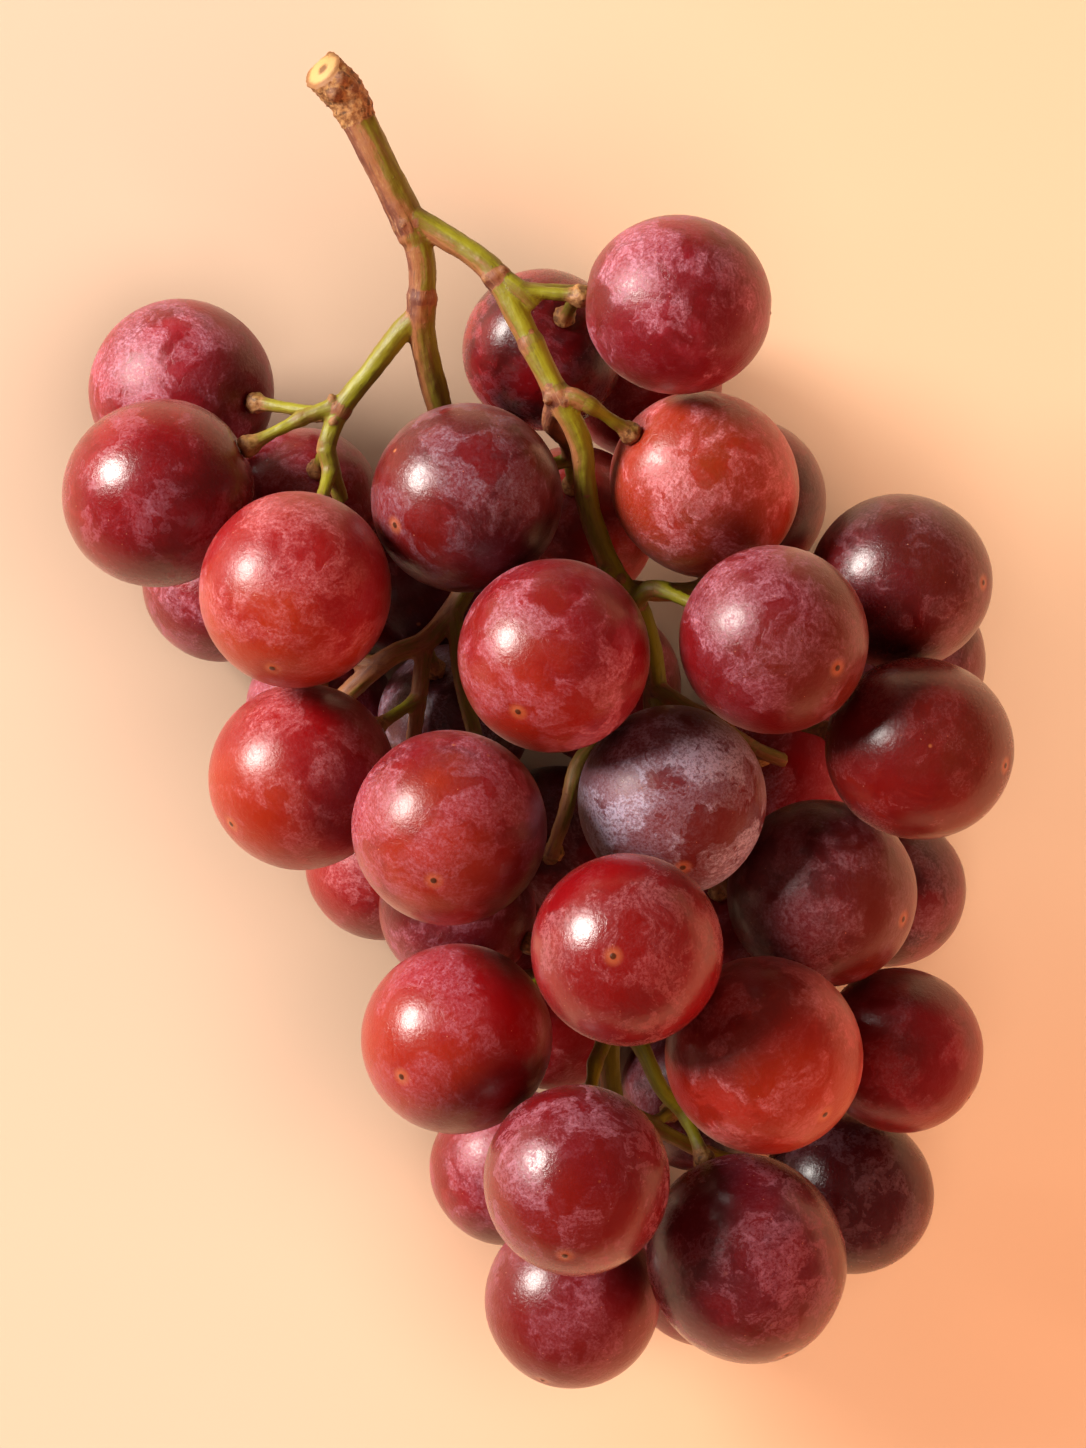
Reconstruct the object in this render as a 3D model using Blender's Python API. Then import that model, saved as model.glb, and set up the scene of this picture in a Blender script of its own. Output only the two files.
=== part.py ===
"""A bunch of red table grapes lying on its back on a flat surface.

One branching stem, the rachis, carries every berry on a pedicel of its own.
Frame: metres, +X across the bunch, +Y toward the cut end of the stem, +Z up.
The lengths below are in millimetres, and MM turns them into metres.
"""
import math
from collections import namedtuple

import bpy
import bmesh
from mathutils import Matrix, Vector

MM = 0.001

# Gaps and faceting
CLEARANCE = 0.35          # between any two neighbouring pieces
BERRY_SEGMENTS = 12
BERRY_RINGS = 8
STEM_SIDES = 8
RING_SPACING = 4.0        # spacing of the rings along a branch
FUSE_VOXEL = 0.5          # fineness at which the branches grow together
FUSE_KEEP = 0.055         # share of the fused faces that is kept

# Pedicels
PEDICEL_RADIUS = 1.0
PEDICEL_FOOT_RADIUS = 1.3
PEDICEL_LENGTH = 8.0      # the length that a pedicel grows to where there is room
PEDICEL_STEPS = 6
CAP_RADIUS = 1.9          # the swollen receptacle that the berry sits on
CAP_LENGTH = 2.4
FOOT_SPACING = 4.0        # neighbouring pedicels keep about this far apart

# Settling of the berries
SETTLE_ROUNDS = 400
PULLED_SHARE = 0.7        # the first rounds also draw each berry to its own place
PULL_BACK = 0.08
SAMPLE_SPACING = 1.5      # of the points that stand for the stem in distances

SKIN_COLOUR = (0.32, 0.03, 0.04, 1.0)
STEM_COLOUR = (0.30, 0.28, 0.08, 1.0)

# A branch runs along a smooth curve through its points. Its radii are spread
# evenly along it, from its foot to its tip.
Branch = namedtuple("Branch", "name radii points")

BRANCHES = (
    Branch("peduncle", (2.3, 2.1), ((-25, 81, 52), (-22, 75, 51.5), (-18, 67, 50), (-17, 64, 49.5))),
    Branch("cut_end", (2.0, 2.9, 3.3, 2.3), ((-30, 87, 53), (-28, 85, 53), (-26, 83, 52.5), (-24.5, 80, 52))),
    Branch("left_arm", (1.9, 1.7, 1.3), ((-18, 67, 50), (-16, 61, 49), (-16, 52, 46), (-14, 43, 39.5),
                                         (-12, 36, 33), (-11, 28, 31), (-10, 20, 33), (-15, 12, 34),
                                         (-21, 9, 34), (-28, 3, 31))),
    Branch("right_arm", (1.9, 1.8, 1.7, 1.4), ((-19, 68, 50.5), (-14, 65, 50.5), (-7, 60, 52), (-3, 53, 52.5),
                                               (2, 43, 53), (5, 37, 51.5), (6, 29, 47.5), (9, 21, 43),
                                               (13, 15, 40), (15, 8, 37), (15, 0, 33), (15, -10, 33),
                                               (12, -22, 36), (9, -34, 37), (9, -46, 36), (10, -54, 31),
                                               (11, -60, 25))),
    # on the left arm
    Branch("shoulder_lateral", (1.7, 1.6, 1.3), ((-16, 55, 47), (-19, 52, 46), (-23, 47, 44.5),
                                                 (-27, 42, 43.5), (-29, 37, 43))),
    Branch("shoulder_twig", (1.3, 1.0), ((-26, 43, 43.5), (-29, 42, 43.5), (-32, 41, 43))),
    Branch("shoulder_drop", (1.3, 1.0), ((-27, 42, 43), (-29, 42, 36), (-31, 42, 30))),
    Branch("shoulder_tip", (1.3, 1.0), ((-29, 37, 43), (-28, 33, 42), (-27, 30, 40))),
    Branch("left_flank", (1.2, 1.0), ((-22, 8, 34), (-28, 9, 31), (-35, 10, 28))),
    Branch("left_fork", (1.2, 1.0), ((-16, 11, 34), (-17, 2, 34), (-18, -6, 33))),
    Branch("left_twig", (1.2, 1.0), ((-12, 15, 34), (-11, 6, 36), (-9, -2, 40))),
    # on the right arm
    Branch("crown_twig", (1.4, 1.1), ((-7, 60, 52), (-3, 57, 53), (-1, 55, 52.5))),
    Branch("crown_drop", (1.2, 1.0), ((-3, 57, 53), (3, 57, 50), (8, 57, 43), (11, 56, 36))),
    Branch("knuckle_left", (1.3, 1.0), ((2, 43, 53), (1, 40, 49), (3, 38, 42), (4, 36, 36))),
    Branch("knuckle_right", (1.3, 1.1), ((2, 43, 53), (4, 43, 54), (6, 42, 54))),
    Branch("crest_twig", (1.3, 1.0), ((12, 16, 41), (14, 18, 43), (17, 18, 44))),
    Branch("right_lateral", (1.4, 1.0), ((11, 18, 41), (20, 18, 34), (29, 20, 30), (36, 16, 26))),
    Branch("flank_lateral", (1.3, 1.0), ((15, 5, 36), (22, 1, 38), (29, 1, 41))),
    Branch("flank_drop", (1.2, 1.0), ((22, 1, 38), (28, -3, 33), (33, -5, 30))),
    Branch("belly_lateral", (1.3, 1.0), ((15, -3, 33), (9, -2, 35), (5, -5, 38), (3, -12, 38), (1, -18, 34))),
    Branch("waist_lateral", (1.4, 1.0), ((14, -16, 34), (19, -17, 30), (24, -20, 28), (32, -33, 30))),
    Branch("waist_twig", (1.3, 1.0), ((12, -21, 36), (14, -26, 39), (16, -31, 41))),
    Branch("hip_lateral", (1.3, 1.0), ((9, -32, 37), (2, -34, 31), (-5, -35, 25))),
    Branch("tail_lateral", (1.3, 1.0), ((9, -38, 37), (13, -43, 39), (16, -49, 40), (20, -53, 39))),
    Branch("tail_twig", (1.2, 1.0), ((9, -40, 37), (8, -43, 40), (7, -45, 43))),
    Branch("tip_lateral", (1.2, 1.0), ((9, -51, 33), (17, -56, 28), (25, -60, 26))),
)

# A firm berry is one whose place is fixed by the shape of the bunch, and a
# loose one gives way to it.
Berry = namedtuple("Berry", "name branch at width length looseness")

# The branch that each berry hangs from, the place of its centre, its width and
# its length from stem to tip.
FIRM_BERRIES = (
    ("shoulder_drop", (-50, 46, 20), 25.4, 25.8),
    ("shoulder_twig", (-51, 31, 41), 25.0, 26.0),
    ("shoulder_tip", (-32, 18, 54), 25.2, 26.2),
    ("knuckle_left", (-10, 31, 47), 25.0, 25.8),
    ("crown_twig", (18, 53, 54), 23.6, 24.6),
    ("crown_drop", (0, 51, 30), 22.0, 22.6),
    ("knuckle_right", (20, 30, 45), 24.6, 26.0),
    ("right_arm", (1, 9, 58), 25.0, 26.0),
    ("crest_twig", (30, 11, 60), 24.6, 24.8),
    ("right_lateral", (48, 19, 40), 23.6, 24.8),
    ("flank_lateral", (49, -4, 51), 24.0, 25.0),
    ("left_fork", (-32, -7, 44), 24.8, 25.2),
    ("left_twig", (-12, -13, 59), 25.4, 25.8),
    ("right_arm", (17, -10, 50), 25.0, 25.4),
    ("waist_lateral", (38, -25, 39), 25.2, 25.8),
    ("waist_twig", (11, -29, 66), 24.8, 25.4),
    ("hip_lateral", (-11, -42, 47), 25.2, 25.8),
    ("waist_twig", (29, -43, 54), 25.8, 26.2),
    ("tail_twig", (4, -59, 57), 24.4, 25.4),
    ("tail_lateral", (27, -71, 46), 26.4, 28.2),
    ("right_arm", (4, -78, 32), 23.8, 24.2),
    ("tip_lateral", (42, -64, 24), 22.4, 24.0),
    ("waist_lateral", (47, -42, 35), 22.2, 22.8),
)
LOOSE_BERRIES = (
    ("waist_lateral", (48, -23, 14), 21.4, 22.0),
    ("right_lateral", (26, 32, 20), 22.6, 23.4),
    ("right_lateral", (49, 8, 16), 22.4, 23.0),
    ("left_flank", (-44, 19, 11), 22.2, 23.0),
    ("shoulder_tip", (-31, 32, 26), 20.4, 21.0),
    ("left_arm", (-19, 23, 11), 23.6, 24.4),
    ("left_fork", (-20, -21, 11), 21.4, 22.0),
    ("hip_lateral", (-12, -30, 27), 21.0, 21.6),
    ("right_arm", (-4, -61, 18), 21.8, 22.4),
    ("left_fork", (-14, 3, 20), 21.0, 21.6),
    ("knuckle_left", (2, 26, 18), 22.0, 22.8),
    ("left_flank", (-31, 3, 11), 20.8, 21.6),
    ("flank_drop", (34, -6, 14), 22.2, 23.0),
    ("tip_lateral", (22, -51, 11), 22.2, 23.0),
    ("crown_drop", (15, 47, 11), 22.2, 23.0),
    ("belly_lateral", (8, 6, 11), 22.4, 23.2),
    ("waist_lateral", (25, -28, 11), 22.4, 23.2),
    ("belly_lateral", (2, -17, 11), 22.4, 23.2),
    ("hip_lateral", (1, -41, 11), 21.8, 22.6),
    ("tip_lateral", (23, -76, 11), 22.0, 22.8),
)


def clear_scene():
    """Start from an empty scene."""
    for item in list(bpy.data.objects):
        bpy.data.objects.remove(item, do_unlink=True)


def half(berry):
    """The radius of the ball that holds a berry."""
    return max(berry.width, berry.length) / 2


def smooth_curve(points, spacing):
    """Points about one spacing apart on a smooth curve through the given points."""
    knots = [Vector(point) for point in points]
    padded = [2 * knots[0] - knots[1]] + knots + [2 * knots[-1] - knots[-2]]
    curve = []
    for a, b, c, d in zip(padded, padded[1:], padded[2:], padded[3:]):
        count = max(1, round((c - b).length / spacing))
        for i in range(count):
            t = i / count
            bend = (2 * a - 5 * b + 4 * c - d) * t ** 2 + (3 * b - a - 3 * c + d) * t ** 3
            curve.append(b + ((c - a) * t + bend) / 2)
    curve.append(knots[-1])
    return curve


def spread(values, count):
    """The given values, spread evenly over a number of places."""
    out = []
    for i in range(count):
        place = i / (count - 1) * (len(values) - 1)
        low = min(int(place), len(values) - 2)
        out.append(values[low] + (values[low + 1] - values[low]) * (place - low))
    return out


def stem_samples():
    """For each branch's name, closely spaced pairs of a point and a radius."""
    samples = {}
    for branch in BRANCHES:
        curve = smooth_curve(branch.points, SAMPLE_SPACING)
        samples[branch.name] = list(zip(curve, spread(branch.radii, len(curve))))
    return samples


def make_berries():
    """All the berries, numbered from the first."""
    berries = []
    for looseness, rows in ((1.0, FIRM_BERRIES), (4.0, LOOSE_BERRIES)):
        for branch, at, width, length in rows:
            name = "grape_%02d" % (len(berries) + 1)
            berries.append(Berry(name, branch, Vector(at), width, length, looseness))
    return berries


def settle(berries, samples):
    """Part the berries until none touches another, the stem or the table."""
    places = [berry.at.copy() for berry in berries]
    stem = [sample for along_branch in samples.values() for sample in along_branch]
    for round_number in range(SETTLE_ROUNDS):
        pulling = round_number < SETTLE_ROUNDS * PULLED_SHARE
        for i, berry in enumerate(berries):
            if pulling:
                places[i] += (berry.at - places[i]) * PULL_BACK / berry.looseness
            for j in range(i):
                apart = places[i] - places[j]
                overlap = half(berry) + half(berries[j]) + CLEARANCE - apart.length
                if overlap > 0:
                    share = berry.looseness / (berry.looseness + berries[j].looseness)
                    push = apart.normalized() * overlap
                    places[i] += push * share
                    places[j] -= push * (1 - share)
            for point, radius in stem:
                apart = places[i] - point
                overlap = half(berry) + radius + 2 * CLEARANCE - apart.length
                if overlap > 0:
                    places[i] += apart.normalized() * overlap
            places[i].z = max(places[i].z, half(berry))
    return [berry._replace(at=place) for berry, place in zip(berries, places)]


def nearest_gap(point, others):
    """How far a point is from the nearest of some berries."""
    return min((point - other.at).length - half(other) for other in others)


def choose_foot(berry, berries, samples, feet):
    """The point of its branch that this berry's pedicel grows from."""
    others = [other for other in berries if other.name != berry.name]

    def cost(point):
        away = berry.at - point
        length = away.length - half(berry)
        tip = point + away.normalized() * (length - 1)
        tightest = min(nearest_gap(point.lerp(tip, i / 8), others) for i in range(3, 9))
        blocked = max(0, CAP_RADIUS + 2 * CLEARANCE - tightest)
        below = max(0, berry.at.y + half(berry) / 2 - point.y)
        crowded = sum(max(0, FOOT_SPACING - (point - foot).length) for foot in feet)
        return abs(length - PEDICEL_LENGTH) + 12 * blocked + 0.3 * below + crowded

    return min((point for point, _ in samples[berry.branch]), key=cost)


def route_pedicel(berry, foot, berries):
    """The points of a pedicel from the stem to its berry, clear of the others."""
    others = [other for other in berries if other.name != berry.name]
    tip = berry.at + (foot - berry.at).normalized() * (berry.length / 2 + CLEARANCE)
    route = [foot.lerp(tip, i / PEDICEL_STEPS) for i in range(PEDICEL_STEPS + 1)]
    for _ in range(80):
        for i in range(1, PEDICEL_STEPS):
            thick = CAP_RADIUS if i > PEDICEL_STEPS - 2 else PEDICEL_FOOT_RADIUS
            for other in others:
                apart = route[i] - other.at
                overlap = half(other) + thick + CLEARANCE - apart.length
                if overlap > 0:
                    route[i] += apart.normalized() * overlap
        for i in range(1, PEDICEL_STEPS):
            route[i] = route[i] * 0.8 + (route[i - 1] + route[i + 1]) * 0.1
    return route


def add_tube(mesh, route, radii):
    """A closed tube along a route, with one radius for each of its points."""
    rings = []
    normal = (route[1] - route[0]).orthogonal().normalized()
    for i, point in enumerate(route):
        along = (route[min(i + 1, len(route) - 1)] - route[max(i - 1, 0)]).normalized()
        normal = (normal - along * normal.dot(along)).normalized()
        turn = Matrix((normal, along.cross(normal), along)).transposed().to_4x4()
        place = Matrix.Translation(point * MM) @ turn
        ring = bmesh.ops.create_circle(mesh, segments=STEM_SIDES, radius=radii[i] * MM, matrix=place)
        rings.append(ring["verts"])
    for ring, following in zip(rings, rings[1:]):
        edges = {edge for vert in ring + following for edge in vert.link_edges if len(edge.link_faces) < 2}
        wanted = [edge for edge in edges if set(edge.verts) <= set(ring) or set(edge.verts) <= set(following)]
        bmesh.ops.bridge_loops(mesh, edges=wanted)
    for ring in (rings[0], rings[-1]):
        mesh.faces.new(ring)


def grow_branch(mesh, branch):
    """One branch as a tapering tube."""
    curve = smooth_curve(branch.points, RING_SPACING)
    add_tube(mesh, curve, spread(branch.radii, len(curve)))


def grow_pedicel(mesh, route):
    """One pedicel with the swollen cap at its berry end."""
    end = route[-1]
    along = (end - route[-2]).normalized()
    points = route[:-2:2] + [end - along * CAP_LENGTH, end - along * CAP_LENGTH / 4, end]
    radii = [PEDICEL_FOOT_RADIUS] + [PEDICEL_RADIUS] * (len(points) - 3) + [CAP_RADIUS, CAP_RADIUS * 0.8]
    add_tube(mesh, points, radii)


def material(name, colour, roughness):
    """A plain surface in one colour."""
    made = bpy.data.materials.new(name)
    made.use_nodes = True
    shader = made.node_tree.nodes["Principled BSDF"]
    shader.inputs["Base Color"].default_value = colour
    shader.inputs["Roughness"].default_value = roughness
    shader.inputs["Metallic"].default_value = 0.0
    return made


def new_object(name, mesh, look):
    """An object made from a bmesh, shaded smooth."""
    data = bpy.data.meshes.new(name)
    bmesh.ops.recalc_face_normals(mesh, faces=mesh.faces)
    mesh.to_mesh(data)
    mesh.free()
    data.materials.append(look)
    data.shade_smooth()
    made = bpy.data.objects.new(name, data)
    bpy.context.scene.collection.objects.link(made)
    return made


def berry_object(berry, route, look):
    """One grape, an ellipsoid whose long axis points to its pedicel's foot."""
    axis = berry.at - route[0]
    turn = axis.to_track_quat("Z", "Y").to_matrix().to_4x4()
    size = Matrix.Diagonal((berry.width * MM, berry.width * MM, berry.length * MM, 1))
    mesh = bmesh.new()
    bmesh.ops.create_uvsphere(mesh, u_segments=BERRY_SEGMENTS, v_segments=BERRY_RINGS, radius=0.5)
    bmesh.ops.transform(mesh, matrix=turn @ size, verts=mesh.verts)
    lowest = min(vert.co.z for vert in mesh.verts)
    made = new_object(berry.name, mesh, look)
    made.location = berry.at * MM
    if berry.at.z < half(berry) + 2 * CLEARANCE:
        made.location.z = -lowest
    return made


def rachis_object(routes, look):
    """The whole stem as one body: every branch and pedicel grown together."""
    mesh = bmesh.new()
    for branch in BRANCHES:
        grow_branch(mesh, branch)
    for route in routes:
        grow_pedicel(mesh, route)
    stem = new_object("rachis", mesh, look)
    fuse = stem.modifiers.new("grown_together", "REMESH")
    fuse.mode = "VOXEL"
    fuse.voxel_size = FUSE_VOXEL * MM
    thin = stem.modifiers.new("thinned", "DECIMATE")
    thin.ratio = FUSE_KEEP
    return stem


def centre_over_origin(pieces):
    """Shift the bunch so that its box stands centred on the origin."""
    bpy.context.view_layer.update()
    graph = bpy.context.evaluated_depsgraph_get()
    corners = []
    for piece in pieces:
        shape = piece.evaluated_get(graph)
        corners += [shape.matrix_world @ Vector(corner) for corner in shape.bound_box]
    low = [min(corner[k] for corner in corners) for k in range(3)]
    high = [max(corner[k] for corner in corners) for k in range(3)]
    shift = Vector(((low[0] + high[0]) / 2, (low[1] + high[1]) / 2, low[2]))
    for piece in pieces:
        piece.location -= shift


def build():
    """Make the bunch."""
    clear_scene()
    samples = stem_samples()
    berries = settle(make_berries(), samples)
    skin = material("grape_skin", SKIN_COLOUR, 0.35)
    bark = material("stem", STEM_COLOUR, 0.6)
    routes = []
    pieces = []
    for berry in berries:
        foot = choose_foot(berry, berries, samples, [route[0] for route in routes])
        routes.append(route_pedicel(berry, foot, berries))
        pieces.append(berry_object(berry, routes[-1], skin))
    pieces.append(rachis_object(routes, bark))
    centre_over_origin(pieces)


build()
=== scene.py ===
"""A bunch of red grapes lying on its side, with its woody stem."""
import math

import bmesh
import bpy
import numpy as np
from collections import namedtuple
from mathutils import Matrix, Vector, kdtree, noise


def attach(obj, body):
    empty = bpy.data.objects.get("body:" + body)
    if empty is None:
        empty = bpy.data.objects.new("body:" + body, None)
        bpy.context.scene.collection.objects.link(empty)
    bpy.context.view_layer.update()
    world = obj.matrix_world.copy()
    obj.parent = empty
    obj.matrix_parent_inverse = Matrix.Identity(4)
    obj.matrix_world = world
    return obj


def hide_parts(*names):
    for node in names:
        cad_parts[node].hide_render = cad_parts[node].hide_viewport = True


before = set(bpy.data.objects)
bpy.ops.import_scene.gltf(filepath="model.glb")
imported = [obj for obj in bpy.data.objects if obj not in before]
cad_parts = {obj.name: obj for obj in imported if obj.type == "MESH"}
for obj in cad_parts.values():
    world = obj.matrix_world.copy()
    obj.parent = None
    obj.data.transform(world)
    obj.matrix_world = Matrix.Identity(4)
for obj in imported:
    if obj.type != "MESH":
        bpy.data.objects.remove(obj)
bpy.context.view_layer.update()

MM = 0.001

# How far the branches below are moved to stand in the frame, in millimetres.
STEM_SHIFT = Vector((1.1844, 0.961, 0.0))

# How pedicels are routed, in millimetres: the gap kept to a grape, the spacing of
# the places on a branch where one may start, how little a nearer start counts
# against a straighter one, and the room a pedicel needs along its run and at its
# cap. Then its number of stretches, and how often they are pushed clear.
CLEARANCE = 0.35
SAMPLE_SPACING = 1.5
NEARNESS_WEIGHT = 0.002
PEDICEL_ROOM = 1.3
CAP_ROOM = 1.9
PEDICEL_STEPS = 6
ROUTE_PASSES = 80

# Each branch of the stem: its radii from end to end, how woody it is from end to
# end (0 for fresh green, 1 for brown wood), whether it belongs to the upper or
# the lower half, and the points it passes through, in millimetres.
Branch = namedtuple("Branch", "name half radii wood points")
BRANCHES = (
    Branch("peduncle", "upper", (2.3, 2.1), (0.66, 0.52),
           ((-25, 81, 52), (-22, 75, 51.5), (-18, 67, 50), (-17, 64, 49.5))),
    Branch("cut_end", "upper", (2.5, 2.75, 2.95, 2.6, 2.3), (1.0, 1.0),
           ((-30, 87, 53), (-28, 85, 53), (-26, 83, 52.5), (-24.5, 80, 52))),
    Branch("left_arm", "upper", (1.9, 1.7, 1.3), (0.62, 0.5, 0.3, 0.5, 0.6, 0.6),
           ((-18, 67, 50), (-16, 61, 49), (-16, 52, 46), (-14, 43, 39.5), (-12, 36, 33),
            (-11, 28, 31), (-10, 20, 33), (-15, 12, 34), (-21, 9, 34), (-28, 3, 31))),
    Branch("right_arm", "upper",
           (1.6, 1.65, 1.55, 1.5, 1.45), (0.5, 0.2, 0.15, 0.35, 0.3, 0.4, 0.5),
           ((-19, 68, 50.5), (-14, 65, 50.5), (-7, 60, 52), (-3, 53, 52.5), (2, 43, 53),
            (5, 37, 51.5), (6, 29, 47.5), (9, 21, 43), (13, 15, 40), (15, 8, 37),
            (15, 0, 33), (15, -10, 33))),
    Branch("right_arm_end", "lower", (1.6, 1.5, 1.4), (0.5, 0.3, 0.25, 0.3),
           ((15, -4, 33), (15, -10, 33), (12, -22, 36), (9, -34, 37), (9, -46, 36),
            (10, -54, 31), (11, -60, 25))),
    Branch("shoulder_lateral", "upper", (1.55, 1.45, 1.2), (0.35, 0.1, 0.0, 0.15),
           ((-16, 55, 47), (-19, 52, 46), (-23, 47, 44.5), (-27, 42, 43.5), (-29, 37, 43))),
    Branch("shoulder_twig", "upper", (1.3, 1.0), (0.1, 0.2),
           ((-26, 43, 43.5), (-29, 42, 43.5), (-32, 41, 43))),
    Branch("shoulder_drop", "upper", (1.3, 1.0), (0.1, 0.2),
           ((-27, 42, 43), (-29, 42, 36), (-31, 42, 30))),
    Branch("shoulder_tip", "upper", (1.3, 1.0), (0.15, 0.3),
           ((-29, 37, 43), (-28, 33, 42), (-27, 30, 40))),
    Branch("left_flank", "upper", (1.2, 1.0), (0.6, 0.7),
           ((-22, 8, 34), (-28, 9, 31), (-35, 10, 28))),
    Branch("left_fork", "upper", (1.2, 1.0), (0.6, 0.7),
           ((-16, 11, 34), (-17, 2, 34), (-18, -6, 33))),
    Branch("left_twig", "upper", (1.2, 1.0), (0.4, 0.3),
           ((-12, 15, 34), (-11, 6, 36), (-9, -2, 40))),
    Branch("crown_twig", "upper", (1.4, 1.1), (0.1, 0.15),
           ((-7, 60, 52), (-3, 57, 53), (-1, 55, 52.5))),
    Branch("crown_drop", "upper", (1.2, 1.0), (0.2, 0.4),
           ((-3, 57, 53), (3, 57, 50), (8, 57, 43), (11, 56, 36))),
    Branch("knuckle_left", "upper", (1.3, 1.0), (0.8, 0.4),
           ((2, 43, 53), (1, 40, 49), (3, 38, 42), (4, 36, 36))),
    Branch("knuckle_right", "upper", (1.3, 1.1), (0.7, 0.2),
           ((2, 43, 53), (4, 43, 54), (6, 42, 54))),
    Branch("crest_twig", "upper", (1.3, 1.0), (0.2, 0.2),
           ((12, 16, 41), (14, 18, 43), (17, 18, 44))),
    Branch("right_lateral", "upper", (1.4, 1.0), (0.4, 0.6),
           ((11, 18, 41), (20, 18, 34), (29, 20, 30), (36, 16, 26))),
    Branch("flank_lateral", "upper", (1.3, 1.0), (0.4, 0.5),
           ((15, 5, 36), (22, 1, 38), (29, 1, 41))),
    Branch("flank_drop", "upper", (1.2, 1.0), (0.5, 0.6),
           ((22, 1, 38), (28, -3, 33), (33, -5, 30))),
    Branch("belly_lateral", "upper", (1.3, 1.0), (0.4, 0.6),
           ((15, -3, 33), (9, -2, 35), (5, -5, 38), (3, -12, 38), (1, -18, 34))),
    Branch("waist_lateral", "lower", (1.4, 1.0), (0.4, 0.6),
           ((14, -16, 34), (19, -17, 30), (24, -20, 28), (32, -33, 30))),
    Branch("waist_twig", "lower", (1.3, 1.0), (0.3, 0.4),
           ((12, -21, 36), (14, -26, 39), (16, -31, 41))),
    Branch("hip_lateral", "lower", (1.3, 1.0), (0.3, 0.5),
           ((9, -32, 37), (2, -34, 31), (-5, -35, 25))),
    Branch("tail_lateral", "lower", (1.3, 1.0), (0.2, 0.1),
           ((9, -38, 37), (13, -43, 39), (16, -49, 40), (20, -53, 39))),
    Branch("tail_twig", "lower", (1.2, 1.0), (0.2, 0.3),
           ((9, -40, 37), (8, -43, 40), (7, -45, 43))),
    Branch("tip_lateral", "lower", (1.2, 1.0), (0.3, 0.4),
           ((9, -51, 33), (17, -56, 28), (25, -60, 26))),
)


class Wire:
    """A node's output. Arithmetic on it adds Math nodes, and node() adds any other kind."""

    def __init__(self, tree, socket=None):
        self.tree = tree
        self.socket = socket

    def node(self, kind, settings=None, inputs=None, output=0):
        """Add a node, set it up, wire its inputs, and give one of its outputs."""
        made = self.tree.nodes.new("ShaderNode" + kind)
        for name, value in (settings or {}).items():
            if name == "stops":
                ramp = made.color_ramp
                while len(ramp.elements) < len(value):
                    ramp.elements.new(1.0)
                for element, (place, colour) in zip(ramp.elements, value):
                    element.position = place
                    element.color = (*colour, 1.0)
            else:
                setattr(made, name, value)
        for name, value in (inputs or {}).items():
            if isinstance(value, Wire):
                self.tree.links.new(value.socket, made.inputs[name])
            else:
                made.inputs[name].default_value = value
        return Wire(self.tree, made.outputs[output])

    def math(self, operation, first, second=0.0):
        return self.node("Math", {"operation": operation}, {0: first, 1: second})

    def __add__(self, other):
        return self.math("ADD", self, other)

    __radd__ = __add__

    def __sub__(self, other):
        return self.math("SUBTRACT", self, other)

    def __rsub__(self, other):
        return self.math("SUBTRACT", other, self)

    def __mul__(self, other):
        return self.math("MULTIPLY", self, other)

    __rmul__ = __mul__

    def step(self, low, high, start=0.0, end=1.0):
        """A smooth step from start to end as this value goes from low to high."""
        settings = {"interpolation_type": "SMOOTHSTEP", "clamp": True}
        inputs = {"Value": self, "From Min": low, "From Max": high, "To Min": start, "To Max": end}
        return self.node("MapRange", settings, inputs)

    def blend(self, first, second):
        """A colour between two, by this value."""
        inputs = {0: self, 6: opaque(first), 7: opaque(second)}
        return self.node("Mix", {"data_type": "RGBA", "clamp_factor": True}, inputs, 2)

    def shift(self, offset):
        """This place moved by an offset."""
        return self.node("VectorMath", {"operation": "ADD"}, {0: self, 1: offset})

    def stretch(self, factors):
        """This place scaled along each axis."""
        return self.node("VectorMath", {"operation": "MULTIPLY"}, {0: self, 1: factors})

    def noise(self, scale, detail=2.0, roughness=0.5, distortion=0.0, output=0):
        inputs = {
            "Vector": self, "Scale": scale, "Detail": detail,
            "Roughness": roughness, "Distortion": distortion,
        }
        return self.node("TexNoise", None, inputs, output)

    def cells(self, scale, output=0):
        return self.node("TexVoronoi", None, {"Vector": self, "Scale": scale}, output)

    def measure(self):
        """The length of this vector."""
        return self.node("VectorMath", {"operation": "LENGTH"}, {0: self}, "Value")

    def distance(self, spot):
        """How far this place is from a spot."""
        return self.node("VectorMath", {"operation": "DISTANCE"}, {0: self, 1: spot}, "Value")


def opaque(colour):
    """A colour with full alpha, or a wire as it is."""
    return colour if isinstance(colour, Wire) else (*colour, 1.0)


def srgb(red, green, blue):
    """A colour from its three values out of 255, as light."""
    values = (red / 255, green / 255, blue / 255)
    return tuple(v / 12.92 if v < 0.04045 else ((v + 0.055) / 1.055) ** 2.4 for v in values)


def new_look(name):
    """An empty material, with its shader and a wire to start from."""
    look = bpy.data.materials.new(name)
    look.use_nodes = True
    shader = look.node_tree.nodes["Principled BSDF"]
    return look, shader, Wire(look.node_tree)


def connect(shader, values):
    """Wire or set the shader's sockets."""
    for name, value in values.items():
        if isinstance(value, Wire):
            value.tree.links.new(value.socket, shader.inputs[name])
        else:
            shader.inputs[name].default_value = value


# ---------------------------------------------------------------- the grapes

# How a grape looks: its main colour, its darker side, its blush near the
# blossom scar and how far that reaches, its bloom (the pale wax dust) and how
# much of it there is, how much of it is rubbed off, how polished the bare skin
# is, and how many brown blemishes it has.
Skin = namedtuple("Skin", "flesh deep blush blush_reach bloom dust rubbed polish blemish")

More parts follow.
